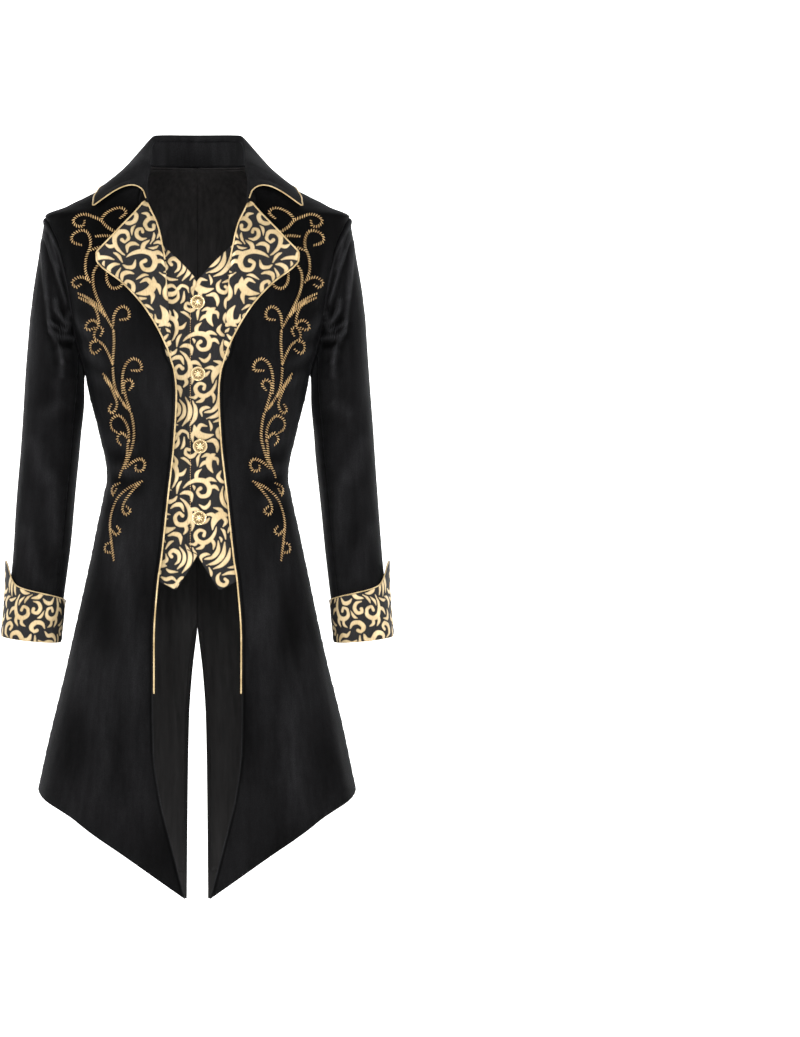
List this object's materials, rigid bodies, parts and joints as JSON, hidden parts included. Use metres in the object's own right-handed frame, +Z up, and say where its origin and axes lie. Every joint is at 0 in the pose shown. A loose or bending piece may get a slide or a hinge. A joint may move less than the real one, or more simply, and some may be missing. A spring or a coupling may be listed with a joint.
{
  "type": "costume tailcoat",
  "caption": "Knee-length fitted tailcoat, filled out as worn, with fall collar, wide lapels, mock waistcoat front, turned-back cuffs and a split, pointed skirt.",
  "frame": {"origin": "midway between the two points where the shoulder seams meet the neck, where the wearer's shoulders carry the coat", "axes": "+Z up the wearer's body, +X to the wearer's left, the coat's front faces -Y"},
  "size_m": [0.5694, 0.2982, 1.1078],
  "materials": {
    "velvet": "black velvet with a soft sheen",
    "lining": "black satin lining",
    "brocade": "black brocade with pale gold scrolls",
    "piping": "gold covered cord",
    "antique_brass": "antique brass"
  },
  "bodies": {
    "root": {"front_left": "velvet", "side_back_left": "velvet", "back_left": "velvet", "lining_back_left": "lining", "lapel_left": "brocade", "front_piping_left": "piping", "top_sleeve_left": "velvet", "under_sleeve_left": "velvet", "cuff_left": "brocade", "cuff_piping_left": "piping", "vest_left": "brocade", "front_right": "velvet", "side_back_right": "velvet", "back_right": "velvet", "lining_back_right": "lining", "lapel_right": "brocade", "front_piping_right": "piping", "top_sleeve_right": "velvet", "under_sleeve_right": "velvet", "cuff_right": "brocade", "cuff_piping_right": "piping", "vest_right": "brocade", "collar_stand": "velvet", "collar_fall": "velvet", "collar_piping": "piping", "button_1": "antique_brass", "button_2": "antique_brass", "button_3": "antique_brass", "button_4": "antique_brass"}
  },
  "joints": []
}
